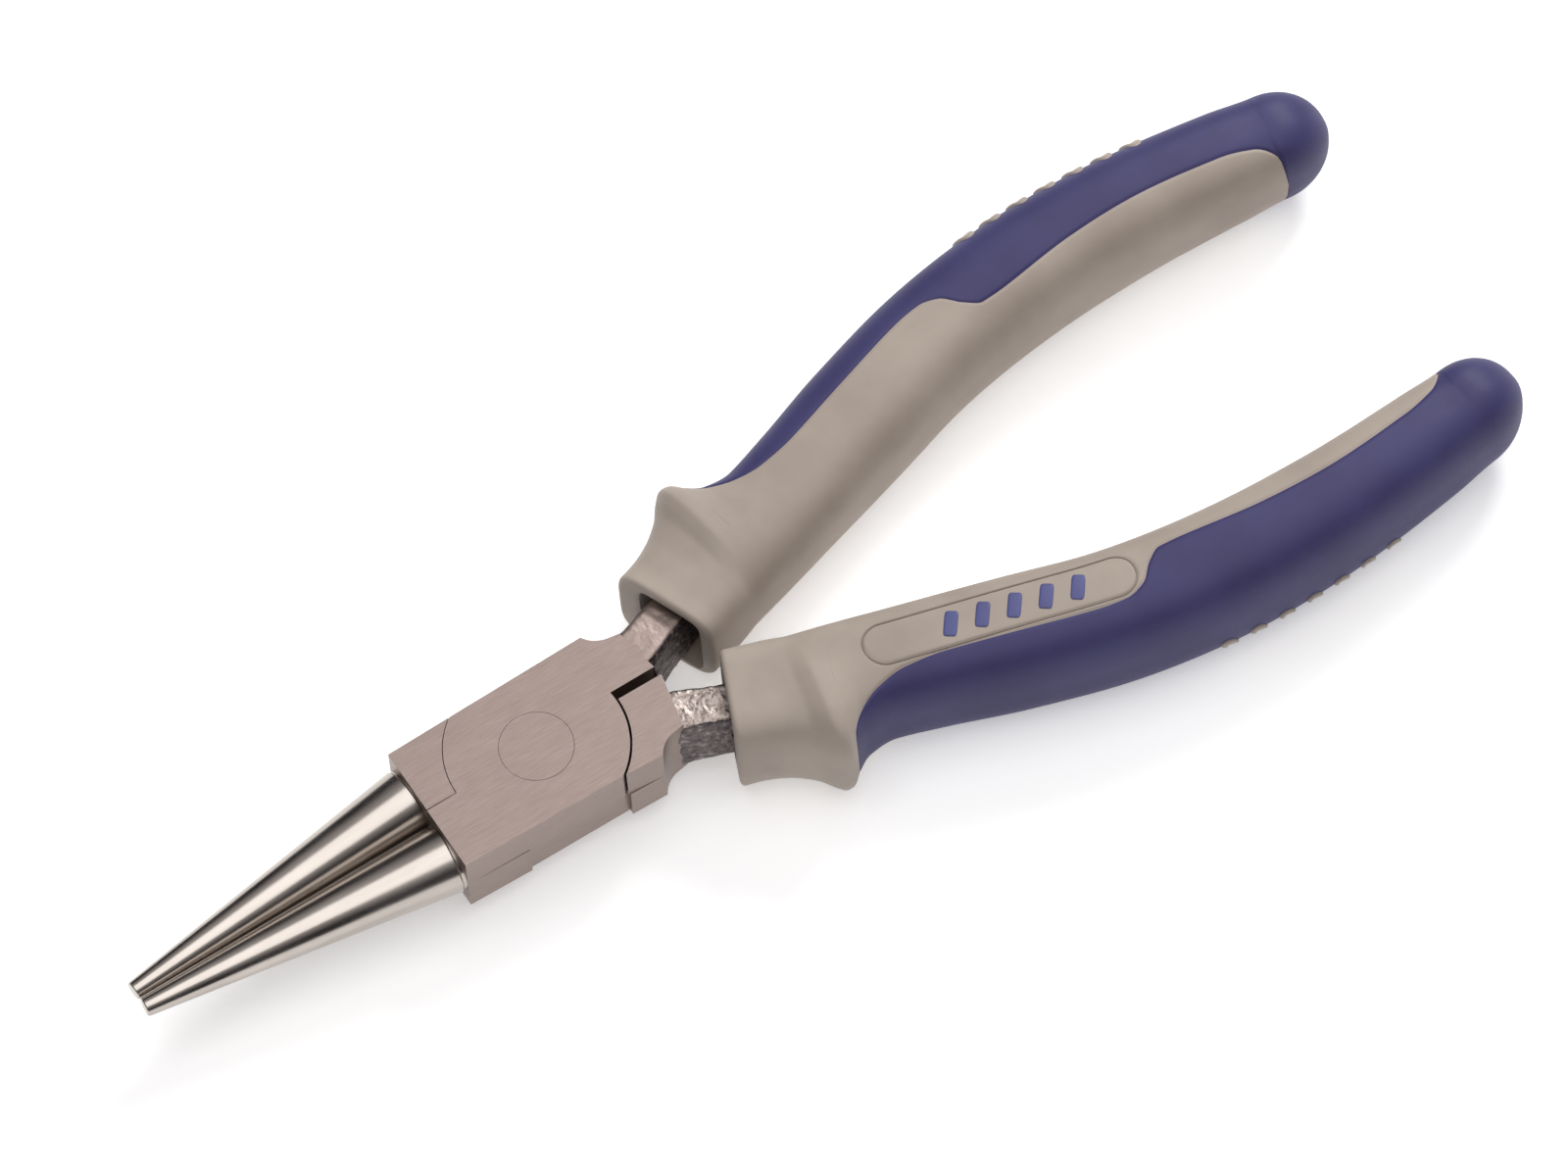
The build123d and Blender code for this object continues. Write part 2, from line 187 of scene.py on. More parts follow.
BAR_SIZE = (1.5, 3.0)
BAR_RISE = 0.12
BAR_SQUARENESS = 6
PAD_STATIONS = (51.5, 54.8, 58.1, 61.4, 64.7, 68.0, 71.3)
PAD_SIZE = (1.7, 3.4)
PAD_HEIGHT = -4.4
PAD_RISE = 0.33
PAD_SQUARENESS = 2.6
MARK_SLANT = radians(20)
MARK_ROOT = 0.25              # how deep the bars and pads reach into the grip

# ---- fineness of the meshes, mm along and points round -----------------------------------------------------
GRIP_STEP = 0.2
FINE_STEP = 0.05
BLUE_STEP = 0.25
GREY_COUNT = 150
BLUE_COUNT = 110
MARK_COUNT = 48
NECK_COUNT = 160
JAW_COUNT = 128
LATHE_COUNT = 96

# ---- camera ------------------------------------------------------------------------------------------------
TARGET = Vector((-32.776, -3.467, 4.75)) * MM
CAMERA_TURN = radians(26.744)
CAMERA_RISE = radians(63.5)
CAMERA_ROLL = radians(6.0)
CAMERA_DISTANCE = 2.0
CAMERA_LENS = 432.85


# ---- small helpers -----------------------------------------------------------------------------------------
def smooth_row(table, s):
    """Values at s, on curves through the table's rows that don't overshoot."""
    after = next(k for k in range(1, len(table)) if table[k][0] >= s or k == len(table) - 1)
    low, high = table[after - 1], table[after]
    span = high[0] - low[0]
    share = min(max((s - low[0]) / span, 0.0), 1.0)
    values = []
    for c in range(1, len(low)):
        start, end = slope(table, after - 1, c), slope(table, after, c)
        rise = share**2 * (3 - 2 * share)
        bend = span * share * (1 - share) * ((1 - share) * start - share * end)
        values.append(low[c] + rise * (high[c] - low[c]) + bend)
    return values


def slope(table, k, c):
    """Slope of column c at row k: level at the ends and where the column turns."""
    if k in (0, len(table) - 1):
        return 0.0
    left = (table[k][c] - table[k - 1][c]) / (table[k][0] - table[k - 1][0])
    right = (table[k + 1][c] - table[k][c]) / (table[k + 1][0] - table[k][0])
    return 2 * left * right / (left + right) if left * right > 0 else 0.0


def spaced(start, end, step):
    """Evenly spaced values from start to end, about step apart."""
    count = max(1, round((end - start) / step))
    return [start + k * (end - start) / count for k in range(count + 1)]


def handle_line(s):
    """Point and heading at distance s along the handle line; heading is the angle away from -X, to +Y."""
    turn = HANDLE_SPLAY + HANDLE_TOE_IN
    run = min(s, HANDLE_FRONT_LENGTH)
    x = HANDLE_START[0] - run * cos(HANDLE_SPLAY)
    y = HANDLE_START[1] + run * sin(HANDLE_SPLAY)
    bent = min(max(s - HANDLE_FRONT_LENGTH, 0.0), HANDLE_BEND_RADIUS * turn)
    heading = HANDLE_SPLAY - bent / HANDLE_BEND_RADIUS
    x -= HANDLE_BEND_RADIUS * (sin(HANDLE_SPLAY) - sin(heading))
    y += HANDLE_BEND_RADIUS * (cos(heading) - cos(HANDLE_SPLAY))
    rest = max(s - HANDLE_FRONT_LENGTH - HANDLE_BEND_RADIUS * turn, 0.0)
    return x - rest * cos(heading), y + rest * sin(heading), heading


def on_handle(s, outward, up):
    """Point at distance s along the handle, moved outwards and up, on the leaning section there."""
    lean = radians(smooth_row(LEAN, s)[0])
    x, y, heading = handle_line(s - outward * tan(lean))
    return x + outward * sin(heading), y + outward * cos(heading), up


def faded(value, low, high):
    """Smooth share from 0 at low to 1 at high."""
    share = min(max((value - low) / (high - low), 0.0), 1.0)
    return share**2 * (3 - 2 * share)


def mesh_from(name, rows, closed_rows=False, caps=(False, False)):
    """Mesh over rows of points, in mm; closed rows join their last point to their first."""
    width = len(rows[0])
    points = [p for row in rows for p in row]
    faces = []
    for r in range(len(rows) - 1):
        for c in range(width if closed_rows else width - 1):
            a, b = r * width + c, r * width + (c + 1) % width
            faces.append((a, b, b + width, a + width))
    if caps[0]:
        faces.append(tuple(reversed(range(width))))
    if caps[1]:
        faces.append(tuple(range((len(rows) - 1) * width, len(rows) * width)))
    mesh = bpy.data.meshes.new(name)
    mesh.from_pydata(points, [], faces)
    return mesh


def cleaned(mesh, merge=0.0005):
    """Merges points that coincide and points all faces outwards."""
    work = bmesh.new()
    work.from_mesh(mesh)
    bmesh.ops.remove_doubles(work, verts=work.verts, dist=merge)
    bmesh.ops.recalc_face_normals(work, faces=work.faces)
    work.to_mesh(mesh)
    work.free()
    return mesh


def shaded(mesh, sharp):
    """Smooth shading, broken at edges sharper than an angle in degrees."""
    mesh.shade_smooth()
    mesh.set_sharp_from_angle(angle=radians(sharp))
    return mesh


def place(name, meshes, side, body, nodes, materials):
    """Joins meshes drawn for the left half into one piece on its side, standing for CAD nodes."""
    work = bmesh.new()
    for mesh in meshes:
        work.from_mesh(mesh)
    turn = Matrix.Rotation(pi if side == "right" else 0.0, 4, "X")
    work.transform(Matrix.Translation((0, 0, MID_PLANE)) @ turn @ Matrix.Scale(MM, 4))
    mesh = bpy.data.meshes.new(name)
    work.to_mesh(mesh)
    work.free()
    for material in materials:
        mesh.materials.append(material)
    piece = bpy.data.objects.new(name, mesh)
    bpy.context.scene.collection.objects.link(piece)
    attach(piece, body)
    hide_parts(*nodes)


# ---- materials ---------------------------------------------------------------------------------------------
class Look:
    """A node material with one shader, and short calls for the nodes that drive it."""

    def __init__(self, name, **shader_values):
        self.material = bpy.data.materials.new(name)
        self.material.use_nodes = True
        self.tree = self.material.node_tree
        self.shader = self.tree.nodes["Principled BSDF"]
        for socket, value in shader_values.items():
            self.shader.inputs[socket.replace("_", " ")].default_value = value
        self.place = self.tree.nodes.new("ShaderNodeTexCoord").outputs["Object"]

    def node(self, kind, **inputs):
        """New node with some of its inputs fed; an underscore stands for a space in their names."""
        made = self.tree.nodes.new(kind)
        for socket, value in inputs.items():
            self.feed(made.inputs[socket.replace("_", " ")], value)
        return made

    def feed(self, socket, value):
        """Links a socket to another node's output, or sets its value."""
        if isinstance(value, bpy.types.NodeSocket):
            self.tree.links.new(value, socket)
        else:
            socket.default_value = value

    def grain(self, size, detail=3.0, stretch=(1, 1, 1), roughness=0.55):
        """Noise whose features are about size mm, drawn out by stretch."""
        scale = [1 / (size * MM * factor) for factor in stretch]
        mapping = self.node("ShaderNodeMapping", Vector=self.place, Scale=scale)
        made = self.node("ShaderNodeTexNoise", Vector=mapping.outputs["Vector"], Scale=1.0, Detail=detail)
        made.inputs["Roughness"].default_value = roughness
        return made.outputs["Fac"]

    def cells(self, size):
        """Distance to the nearest of scattered points about size mm apart."""
        mapping = self.node("ShaderNodeMapping", Vector=self.place, Scale=[1 / (size * MM)] * 3)
        made = self.node("ShaderNodeTexVoronoi", Vector=mapping.outputs["Vector"], Scale=1.0)
        return made.outputs["Distance"]

    def ramp(self, value, stops):
        """Colours or greys along a value, as (position, colour) stops."""
        made = self.node("ShaderNodeValToRGB", Fac=value)
        while len(made.color_ramp.elements) < len(stops):
            made.color_ramp.elements.new(0.5)
        for element, (position, colour) in zip(made.color_ramp.elements, stops):
            element.position = position
            element.color = (*colour, 1) if isinstance(colour, tuple) else (colour, colour, colour, 1)
        return made.outputs["Color"]

    def colour(self, value, stops):
        self.feed(self.shader.inputs["Base Color"], self.ramp(value, stops))

    def roughness(self, value, low, high):
        """Roughness from low to high over the middle of a noise's range."""
        made = self.node("ShaderNodeMapRange", Value=value)
        made.inputs["From Min"].default_value = 0.3
        made.inputs["From Max"].default_value = 0.7
        made.inputs["To Min"].default_value = low
        made.inputs["To Max"].default_value = high
        self.feed(self.shader.inputs["Roughness"], made.outputs["Result"])

    def bump(self, *layers):
        """Stacked bumps as (height, depth in mm)."""
        normal = None
        for height, depth in layers:
            made = self.node("ShaderNodeBump", Height=height, Distance=depth * MM, Strength=1.0)
            if normal is not None:
                self.feed(made.inputs["Normal"], normal)
            normal = made.outputs["Normal"]
        self.feed(self.shader.inputs["Normal"], normal)


def ground_steel():
    """Belt-ground faces of the joint: fine lengthwise scratches over a very faint mottle."""
    look = Look("ground_steel", Metallic=1.0)
    scratches = look.grain(0.07, detail=5, stretch=(34, 1, 1), roughness=0.7)
    mottle = look.grain(3.0, detail=2, stretch=(3, 1, 1))
    mixed = look.node("ShaderNodeMath", Value=mottle)
    mixed.operation = "MULTIPLY_ADD"
    _, mottle_share, added = mixed.inputs
    look.feed(mottle_share, 0.12)
    look.feed(added, scratches)
    dark, middle, light = (0.270, 0.212, 0.190), (0.318, 0.252, 0.228), (0.366, 0.296, 0.270)
    look.colour(mixed.outputs["Value"], [(0.38, dark), (0.56, middle), (0.76, light)])
    look.roughness(scratches, 0.36, 0.46)
    look.bump((scratches, 0.003), (look.grain(0.04, detail=2), 0.0015))
    return look.material


def polished_steel():
    """Jaws: polished, with the last trace of the turning marks around them."""
    look = Look("polished_steel", Metallic=1.0)
    lines = look.grain(0.07, detail=3, stretch=(1, 14, 14))
    haze = look.grain(2.2, detail=3, stretch=(5, 1, 1))
    look.colour(haze, [(0.3, (0.44, 0.40, 0.365)), (0.7, (0.52, 0.475, 0.435))])
    look.roughness(haze, 0.19, 0.27)
    look.bump((lines, 0.0016))
    return look.material


def forged_steel():
    """Flat of a neck: brushed forging skin with a crackle of shallow dark pits."""
    look = Look("forged_steel", Metallic=1.0)
    pits = look.grain(0.34, detail=5, roughness=0.6)
    pit, skin, worn = (0.20, 0.165, 0.150), (0.34, 0.285, 0.260), (0.48, 0.42, 0.39)
    look.colour(pits, [(0.36, pit), (0.47, skin), (0.66, worn)])
    look.roughness(pits, 0.34, 0.50)
    look.bump((pits, 0.025), (look.cells(0.35), 0.015), (look.grain(0.1, detail=3), 0.008))
    return look.material


def forging_scale():
    """Sides of a neck: dark scale, lumpy, with worn bright specks."""
    look = Look("forging_scale", Metallic=1.0)
    lumps = look.grain(0.7, detail=6, roughness=0.62)
    scale, thin_scale, worn = (0.06, 0.05, 0.05), (0.17, 0.145, 0.145), (0.42, 0.37, 0.36)
    look.colour(lumps, [(0.38, scale), (0.54, thin_scale), (0.70, worn)])
    look.roughness(lumps, 0.34, 0.60)
    look.bump((lumps, 0.12), (look.cells(0.5), 0.04), (look.grain(0.12, detail=3), 0.02))
    return look.material


def moulded(name, low, high, size, depth, rough_low, rough_high, **shader_values):
    """Moulded grip plastic: a fine spark-eroded grain, size and depth in mm, and a slow drift in tone."""
    look = Look(name, **shader_values)
    drift = look.grain(9.0, detail=3)
    fine = look.grain(size, detail=3)
    look.colour(drift, [(0.35, low), (0.65, high)])
    look.roughness(fine, rough_low, rough_high)
    look.bump((fine, depth), (look.grain(size * 5, detail=2), depth * 0.8))
    return look.material


GROUND = ground_steel()
POLISHED = polished_steel()
FORGED = forged_steel()
SCALE = forging_scale()
GREY = moulded("grey_rubber", (0.340, 0.284, 0.240), (0.395, 0.335, 0.285), 0.16, 0.010, 0.60, 0.75,
               Sheen_Weight=0.12, Sheen_Roughness=0.5)
# painted shade: this darker grey stands in for the shade inside the panel's moulded groove
GROOVE_SHADE = moulded("grey_groove_shade", (0.210, 0.174, 0.146), (0.250, 0.208, 0.176), 0.16, 0.006, 0.65, 0.80)
BLUE = moulded("blue_plastic", (0.042, 0.037, 0.118), (0.051, 0.046, 0.140), 0.14, 0.006, 0.46, 0.58,
               Specular_IOR_Level=0.27)
BAR_BLUE = moulded("blue_ink", (0.060, 0.066, 0.200), (0.072, 0.080, 0.235), 0.12, 0.004, 0.45, 0.60)
STEELS = [GROUND, POLISHED, FORGED, SCALE]


# ---- forged halves -----------------------------------------------------------------------------------------
def arc(radius, start, end, steps=48):
    """Points on a circle about the pivot, between two angles."""
    return [
        (radius * cos(start + (end - start) * k / steps), radius * sin(start + (end - start) * k / steps))
        for k in range(steps + 1)
    ]


def side_y(x):
    """Half width of the joint's tapered outline at x."""
    share = (JAW_END_X - x) / (JAW_END_X - SHOULDER[0])
    return JAW_END_Y + share * (SHOULDER[1] - JAW_END_Y)


def circle_meets_side(radius):
    """Where a circle about the pivot crosses the tapered side: x on the jaw side, found step by step."""
    x = sqrt(radius**2 - JAW_END_Y**2)
    for _ in range(6):
        x = sqrt(radius**2 - side_y(x) ** 2)
    return x


def shoulder_curve():
    """Hollow that runs from the shoulder down to the neck, and the end of the ground face beside it."""
    curve = []
    for t in spaced(0.0, 1.0, 1 / 12):
        curve.append(tuple(
            (1 - t) * (1 - 2 * t) * start + 4 * t * (1 - t) * middle + t * (2 * t - 1) * foot
            for start, middle, foot in zip(SHOULDER, SHOULDER_MIDDLE, SHOULDER_FOOT)
        ))
    return curve + [(face_end_x(FACE_END_Y), FACE_END_Y)]


def face_end_x(y):
    """The ground face's slanting end between the slot and the neck's outer side."""
    return FACE_END_X + FACE_END_SLANT * y / FACE_END_Y


def plate_outline(recessed):
    """Lower layer of a half: jaw root, lap disc and handle root, with or without the recess in its side."""
    meet = sqrt(LAP_RADIUS**2 - RECESS_Y**2) if recessed else circle_meets_side(LAP_RADIUS)
    top = atan2(RECESS_Y if recessed else side_y(meet), meet)
    slot = atan2(SLOT_WIDTH, -sqrt(LAP_RADIUS**2 - SLOT_WIDTH**2))
    under = -circle_meets_side(LAP_RADIUS)
    low = atan2(-side_y(under), under) + 2 * pi
    outline = [(JAW_END_X, -JAW_END_Y), (JAW_END_X, -STEP_HALF_GAP)]
    outline += arc(LAP_RADIUS, 0, top)
    if recessed:
        outline += [(-meet, RECESS_Y), (-meet, side_y(-meet))]
    outline += shoulder_curve()
    outline += [(face_end_x(SLOT_WIDTH), SLOT_WIDTH)]
    outline += arc(LAP_RADIUS, slot, low)
    return outline


def jaw_root_outline(radius):
    """Upper layer on the jaw side, outside the other half's disc."""
    meet = circle_meets_side(radius)
    rim = arc(radius, atan2(-side_y(meet), meet), -STEP_HALF_GAP / radius)
    return rim + [(JAW_END_X, -STEP_HALF_GAP), (JAW_END_X, -JAW_END_Y)]


def cheek_outline(radius):
    """Upper layer on the handle side, outside the other half's disc."""
    meet = -circle_meets_side(radius)
    rim = arc(radius, pi - STEP_HALF_GAP / radius, atan2(side_y(meet), meet))
    return rim + shoulder_curve() + [(face_end_x(STEP_HALF_GAP), STEP_HALF_GAP)]


def prism(outline, bottom, top):
    """Object with a flat outline, for joining."""
    rows = [[(x, y, z) for x, y in outline] for z in (bottom, top)]
    return shape_object(cleaned(mesh_from("prism", rows, closed_rows=True, caps=(True, True))))


def shape_object(mesh):
    """Object in the scene that shows a mesh."""
    made = bpy.data.objects.new(mesh.name, mesh)
    bpy.context.scene.collection.objects.link(made)
    return made


def combine(base, other, operation):
    """Boolean of two objects, kept in the first; the second is removed."""
    modifier = base.modifiers.new("combine", "BOOLEAN")
    modifier.operation = operation
    modifier.solver = "EXACT"
    modifier.object = other
    bpy.context.view_layer.update()
    depsgraph = bpy.context.evaluated_depsgraph_get()
    mesh = bpy.data.meshes.new_from_object(base.evaluated_get(depsgraph))
    base.modifiers.clear()
    base.data = mesh
    bpy.data.objects.remove(other)
    return base


def lathe(profile, count=LATHE_COUNT):
    """Solid of revolution about Z from (radius, z) points."""
    turns = [2 * pi * k / count for k in range(count)]
    rows = [[(radius * cos(turn), radius * sin(turn), z) for turn in turns] for radius, z in profile]
    return cleaned(mesh_from("lathe", rows, closed_rows=True, caps=(True, True)))


def rivet_profile(gap=0.0, proud=0.0):
    """Rivet from end to end with its two countersinks, grown by a gap and past the faces."""
    shank, head, face = RIVET_SHANK_RADIUS + gap, RIVET_HEAD_RADIUS + gap, HALF + proud
    return [(head, -face), (shank, -HALF + RIVET_HEAD_DEPTH), (shank, HALF - RIVET_HEAD_DEPTH), (head, face)]


def soften(mesh, width, chosen, steps=2):
    """Rounds those sharp edges that chosen picks by their middle point."""
    work = bmesh.new()
    work.from_mesh(mesh)
    bmesh.ops.dissolve_limit(work, angle_limit=radians(0.5), verts=work.verts, edges=work.edges)
    sharp = [e for e in work.edges if len(e.link_faces) == 2 and e.calc_face_angle(0) > radians(30)]
    picked = [e for e in sharp if chosen((e.verts[0].co + e.verts[1].co) / 2)]
    bmesh.ops.bevel(work, geom=picked, offset=width, segments=steps, affect="EDGES", profile=0.5,
                    clamp_overlap=True)
    work.to_mesh(mesh)
    work.free()
    return mesh


def on_ground_face(point):
    """On one of the joint's two faces, but not where the face runs on into the neck without an edge."""
    runs_into_neck = point.z < 0 and point.x < SHOULDER_FOOT[0]
    return abs(abs(point.z) - HALF) < 0.01 and not runs_into_neck


def on_outside(point):
    """Round the outside of a ground face."""
    beside = abs(point.y) > side_y(point.x) - 0.05 or point.x < SHOULDER[0]
    return on_ground_face(point) and (beside or point.x > JAW_END_X - 0.05)


def on_inside(point):
    """On the other edges of a ground face."""
    return on_ground_face(point) and not on_outside(point)


def head_mesh(recessed):
    """Joint part of a half: the plate, and the jaw root and cheek that rise beside the other half's plate."""
    root = prism(jaw_root_outline(LAP_RADIUS + JAW_ROOT_CLEARANCE), -OVERLAP, HALF)
    cheek = prism(cheek_outline(LAP_RADIUS + CHEEK_CLEARANCE), -OVERLAP, HALF)
    hole = shape_object(lathe(rivet_profile(gap=RIVET_CLEARANCE, proud=OVERSHOOT)))
    head = prism(plate_outline(recessed), -HALF, -LAP_HALF_GAP)
    head = combine(head, root, "UNION")
    head = combine(head, cheek, "UNION")
    head = combine(head, hole, "DIFFERENCE")
    mesh = soften(head.data, OUTER_ROUNDING, on_outside)
    mesh = soften(mesh, INNER_ROUNDING, on_inside, steps=1)
    bpy.data.objects.remove(head)
    return mesh


def jaw_mesh():
    """Tapered jaw with a small groove where it leaves the joint and a rounded tip."""
    root_y, tip_y = -(JAW_ROOT_RADIUS + JAW_GAP_AT_ROOT / 2), -(JAW_TIP_RADIUS + JAW_GAP_AT_TIP / 2)
    lean = atan2(tip_y - root_y, JAW_LENGTH)
    length = hypot(JAW_LENGTH, tip_y - root_y)
    groove_radius = JAW_ROOT_RADIUS - JAW_GROOVE[0]
    profile = [(groove_radius, -JAW_HOLD), (groove_radius, JAW_GROOVE[1])]
    for share in spaced(0.008, 0.99, 0.05):
        profile.append((JAW_ROOT_RADIUS + (JAW_TIP_RADIUS - JAW_ROOT_RADIUS) * share, length * share))
    radius, rounding = JAW_TIP_RADIUS - JAW_TIP_ROUNDING, JAW_TIP_ROUNDING
    for turn in spaced(0.0, pi / 2, pi / 12):
        profile.append((radius + rounding * cos(turn), length - rounding + rounding * sin(turn)))
    mesh = lathe(profile, JAW_COUNT)
    tilt = Matrix.Rotation(lean, 4, "Z") @ Matrix.Rotation(pi / 2, 4, "Y")
    mesh.transform(Matrix.Translation((JAW_END_X, root_y, 0)) @ tilt)
    return mesh


def rounded_box_point(angle, half_width, half_height, squareness):
    """Point at an angle round a superellipse: 2 is an ellipse, and more is squarer."""
    across = copysign(abs(cos(angle)) ** (2 / squareness), cos(angle)) * half_width
    up = copysign(abs(sin(angle)) ** (2 / squareness), sin(angle)) * half_height
    return across, up


def even_ring(half_width, half_height, squareness, count):
    """Evenly spaced points round a rounded box."""
    ring = []
    for k in range(count):
        side, share = divmod(4 * k / count, 1)
        t = 2 * share - 1
        u, v = ((1, t), (-t, 1), (-1, -t), (t, -1))[int(side)]
        reach = (abs(u) ** squareness + abs(v) ** squareness) ** (-1 / squareness)
        ring.append((u * reach * half_width, v * reach * half_height))
    return ring


def neck_mesh():
    """Forged neck and the start of the tang, with the uneven surface of the forging."""
    sections = list(NECK)
    for station, width, height in TANG:
        x, y, heading = handle_line(station)
        sections.append((x, y, degrees(heading), width, height, 0.0))
    rows = []
    for t in spaced(0.0, len(sections) - 1.0, 0.02):
        x, y, heading, width, height, middle = curve_through(sections, t)
        along, aside = cos(radians(heading)), sin(radians(heading))
        row = []
        for across, up in even_ring(width / 2, height / 2, NECK_SQUARENESS, NECK_COUNT):
            point = Vector((x + across * aside, y + across * along, up))
            lump = noise.fractal(point * LUMPS_PER_MM, *LUMP_NOISE)
            lump *= GROUND_LUMPS if up < -0.45 * height else LUMPS
            reach = 1 + lump / max(1.0, hypot(across, up))
            across, up = across * reach, max(up * reach + middle, NECK_INSET - HALF)
            row.append((x + across * aside, y + across * along, up))
        rows.append(row)
    return cleaned(mesh_from("neck", rows, closed_rows=True, caps=(True, True)))


def curve_through(rows, t):
    """Values at t on a Catmull-Rom curve that meets row k at t = k."""
    k = min(int(t), len(rows) - 2)
    u = t - k
    before, low, high, after = (rows[min(max(k + d, 0), len(rows) - 1)] for d in (-1, 0, 1, 2))
    values = []
    for a, b, c, d in zip(before, low, high, after):
        third = 3 * (b - c) + d - a
        second = 2 * a - 5 * b + 4 * c - d
        values.append(b + 0.5 * u * (c - a + u * (second + u * third)))
    return values


def numbered(mesh, index):
    """Gives all faces of a mesh one material slot."""
    for polygon in mesh.polygons:
        polygon.material_index = index
    return mesh


def neck_faces(mesh):
    """Ground steel below, brushed forging above and dark scale on the sides."""
    for polygon in mesh.polygons:
        up = polygon.normal.z
        steel = GROUND if up < -0.75 else FORGED if up > 0.75 else SCALE
        polygon.material_index = STEELS.index(steel)
    return mesh


def make_half(side, body):
    """One forged half; the side wall of the left one has a recess."""
    head = numbered(shaded(head_mesh(recessed=side == "left"), sharp=18), STEELS.index(GROUND))
    jaw = numbered(shaded(jaw_mesh(), sharp=30), STEELS.index(POLISHED))
    neck = neck_faces(shaded(neck_mesh(), sharp=60))
    place(f"{side}_half", [head, jaw, neck], side, body, [f"{side}_forging"], STEELS)


def make_rivet():
    """Rivet, flush in both faces and a little smaller there than its countersinks."""
    low_face, low_neck, high_neck, high_face = rivet_profile()
    face_radius = RIVET_HEAD_RADIUS - RIVET_CLEARANCE
    mesh = lathe([(face_radius, low_face[1]), low_neck, high_neck, (face_radius, high_face[1])])
    mesh = soften(mesh, RIVET_ROUNDING, lambda point: abs(abs(point.z) - HALF) < 0.01, steps=1)
    place("rivet", [shaded(mesh, sharp=18)], "left", "left_half", ["pivot_rivet"], [GROUND])


# ---- grips -------------------------------------------------------------------------------------------------
def grip_size(s):
    """Outward, inward, half height and squareness at s, with the rounded tip after the last station."""
    if s <= GRIP_END:
        return smooth_row(GRIP_STATIONS, s)
    out, inward, half, square = GRIP_STATIONS[-1][1:]
    shrink = sqrt(max(0.0, 1 - ((s - GRIP_END) / GRIP_TIP) ** 2))
    return [out * shrink, inward * shrink, half * shrink, square]


def skin_point(s, angle, inset=0.0):
    """Point on the grip's outer form; angle 0 is outwards, a quarter turn is up."""
    out, inward, half, square = grip_size(s)
    across, up = rounded_box_point(angle, (out + inward) / 2 - inset, half - inset, square)
    outward = (out - inward) / 2 + across
    crest = smooth_row(RIDGE, s)[0] * faded(outward, *RIDGE_FADES)
    return outward, up * (1 + crest / half)


def boundary_angle(s):
    """Angle of the colour boundary on the top: 0 where there is no blue, half a turn where all is blue."""
    if s <= BOUNDARY[0][0]:
        return 0.0
    if s >= BOUNDARY[-1][0]:
        return pi
    out, inward, half, square = grip_size(s)
    across = (smooth_row(BOUNDARY, s)[0] - (out - inward) / 2) / ((out + inward) / 2)
    across = max(-1.0, min(1.0, across))
    return (pi / 2) - copysign(pi / 2 - acos_power(abs(across), square), across)


def acos_power(across, square):
    """Angle whose rounded-box point has this share of the half width."""
    return atan2(sqrt(max(0.0, 1 - across**square)), across ** (square / 2))


def eased(t):
    """Share of the way at t, for closer spacing near both ends."""
    return 0.45 * t + 0.55 * (1 - cos(pi * t)) / 2


def to_panel(s, outward):
    """Distance in mm from the stadium-shaped line on the label panel."""
    start, end = PANEL_SPAN[0] + PANEL_HALF_WIDTH, PANEL_SPAN[1] - PANEL_HALF_WIDTH
    along = max(start - s, 0.0, s - end)
    return abs(hypot(along, outward - PANEL_OFFSET) - PANEL_HALF_WIDTH)


def groove(distance, depth, half_width):
    """Depth of a soft groove at a distance from its line."""
    return depth * exp(-((distance / half_width) ** 2))


def skin_row(s, first, last, count, inset=0.0, panel=False):
    """Row of points round part of a section, sunk a little along its ends and, if asked, the panel's line."""
    span = last - first
    closed = abs(span - 2 * pi) < 0.001
    ends = [skin_point(s, angle, inset) for angle in (first, last)]
    row = []
    for k in range(count + 1):
        angle = first + span * eased(k / count)
        outward, up = skin_point(s, angle, inset)
        sink = 0.0
        if not closed:
            sink += groove(min(dist((outward, up), end) for end in ends), *COLOUR_GROOVE)
        if panel and up > 0:
            sink += groove(to_panel(s, outward), *PANEL_GROOVE)
        row.append(on_handle(s, outward - sink * cos(angle) * 0.5, up - sink * sin(angle)))
    return row


def pocket_point(angle, share):
    """Point round the pocket's mouth, drawn in by share towards the tang."""
    centre, half_width, half_height = POCKET
    across, up = rounded_box_point(angle, half_width * share, half_height * share, POCKET_SQUARENESS)
    return centre * share + across, up


def front_rows(count):
    """From inside the pocket, over its lip and the front face, to the outer form."""
    angles = [2 * pi * eased(k / count) for k in range(count + 1)]
    rows = []
    for depth, share in POCKET_ROWS:
        rows.append([on_handle(GRIP_FRONT + depth, *pocket_point(angle, share)) for angle in angles])
    for share in (0.06, 0.3, 0.6, 0.92):
        row = []
        for angle in angles:
            inner, outer = pocket_point(angle, 1.0), skin_point(GRIP_FRONT, angle, FRONT_ROUNDING)
            row.append(on_handle(GRIP_FRONT, *[a + share * (b - a) for a, b in zip(inner, outer)]))
        rows.append(row)
    for turn in spaced(0.0, pi / 2, pi / 10):
        inset = FRONT_ROUNDING * (1 - sin(turn))
        s = GRIP_FRONT + FRONT_ROUNDING * (1 - cos(turn))
        rows.append(skin_row(s, 0, 2 * pi, count, inset))
    return rows


